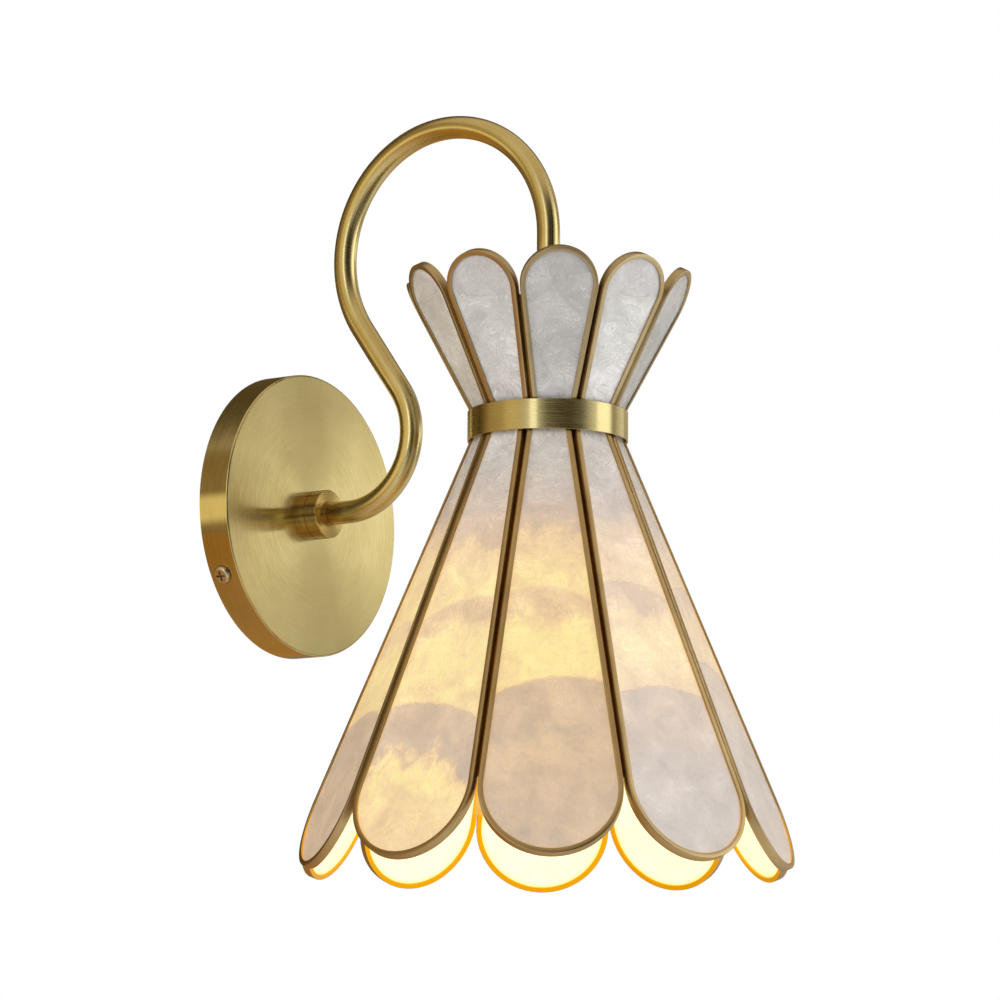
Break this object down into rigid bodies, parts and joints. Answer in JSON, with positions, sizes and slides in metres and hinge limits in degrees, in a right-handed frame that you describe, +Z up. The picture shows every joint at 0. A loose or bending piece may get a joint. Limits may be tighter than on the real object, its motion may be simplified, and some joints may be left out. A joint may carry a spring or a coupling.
{
  "type": "wall sconce",
  "caption": "Wall sconce with a looped brass arm, a round canopy and a fluted, brass-framed capiz shell shade over a screw-base bulb.",
  "frame": {"origin": "centre of the canopy's back plane, on the wall, midway between the two wall slots", "axes": "+Z up, +Y into the wall, the light projects towards -Y, +X to the right of someone who faces the wall"},
  "size_m": [0.2102, 0.2423, 0.3348],
  "materials": {
    "satin_brass": "brushed satin, clear lacquered",
    "frame_brass": "satin, slightly darkened",
    "plain_brass": "as turned",
    "zinc_steel": "zinc plated",
    "screw_steel": "brass plated",
    "solder": "brass toned solder",
    "capiz_shell": "pearly, translucent, satin",
    "opal_glass": "opal, lit warm",
    "porcelain": "glazed white",
    "bulb_metal": "rolled",
    "terminal_plastic": "moulded",
    "lead_sheath": "smooth sheath"
  },
  "bodies": {
    "fixture": {"canopy": "satin_brass", "wall_bracket": "zinc_steel", "m4_screws": "screw_steel", "terminal_block": "terminal_plastic", "arm_collar": "satin_brass", "arm_nipple": "plain_brass", "arm_locknut": "zinc_steel", "arm_tube": "satin_brass", "lamp_lead": "lead_sheath", "solder_seams": "solder", "waist_band": "satin_brass", "waist_plate": "plain_brass", "arm_coupling": "satin_brass", "holder_cap": "satin_brass", "holder_body": "porcelain", "holder_shell": "plain_brass", "holder_contact": "plain_brass", "skirt_frame_01": "frame_brass", "skirt_frame_02": "frame_brass", "skirt_frame_03": "frame_brass", "skirt_frame_04": "frame_brass", "skirt_frame_05": "frame_brass", "skirt_frame_06": "frame_brass", "skirt_frame_07": "frame_brass", "skirt_frame_08": "frame_brass", "skirt_frame_09": "frame_brass", "skirt_frame_10": "frame_brass", "skirt_shell_01": "capiz_shell", "skirt_shell_02": "capiz_shell", "skirt_shell_03": "capiz_shell", "skirt_shell_04": "capiz_shell", "skirt_shell_05": "capiz_shell", "skirt_shell_06": "capiz_shell", "skirt_shell_07": "capiz_shell", "skirt_shell_08": "capiz_shell", "skirt_shell_09": "capiz_shell", "skirt_shell_10": "capiz_shell", "crown_frame_01": "frame_brass", "crown_frame_02": "frame_brass", "crown_frame_03": "frame_brass", "crown_frame_04": "frame_brass", "crown_frame_05": "frame_brass", "crown_frame_06": "frame_brass", "crown_frame_07": "frame_brass", "crown_frame_08": "frame_brass", "crown_frame_09": "frame_brass", "crown_frame_10": "frame_brass", "crown_shell_01": "capiz_shell", "crown_shell_02": "capiz_shell", "crown_shell_03": "capiz_shell", "crown_shell_04": "capiz_shell", "crown_shell_05": "capiz_shell", "crown_shell_06": "capiz_shell", "crown_shell_07": "capiz_shell", "crown_shell_08": "capiz_shell", "crown_shell_09": "capiz_shell", "crown_shell_10": "capiz_shell"},
    "bulb_seat": {"bulb_contact": "bulb_metal"},
    "bulb": {"bulb_glass": "opal_glass", "bulb_cap": "bulb_metal"}
  },
  "joints": [
    {"name": "bulb_travel", "type": "slide", "parent": "fixture", "child": "bulb_seat", "axis": [0, 0, -1], "range_m": [0, 0.01996]},
    {"name": "bulb_unscrew", "type": "hinge", "parent": "bulb_seat", "child": "bulb", "pos_m": [0, -0.1386, -0.02], "axis": [0, 0, -1], "range_deg": [0, 1980]}
  ],
  "couplings": [
    {"joint": "bulb_travel", "follows": "bulb_unscrew", "m_per_rad": 0.00057757}
  ]
}
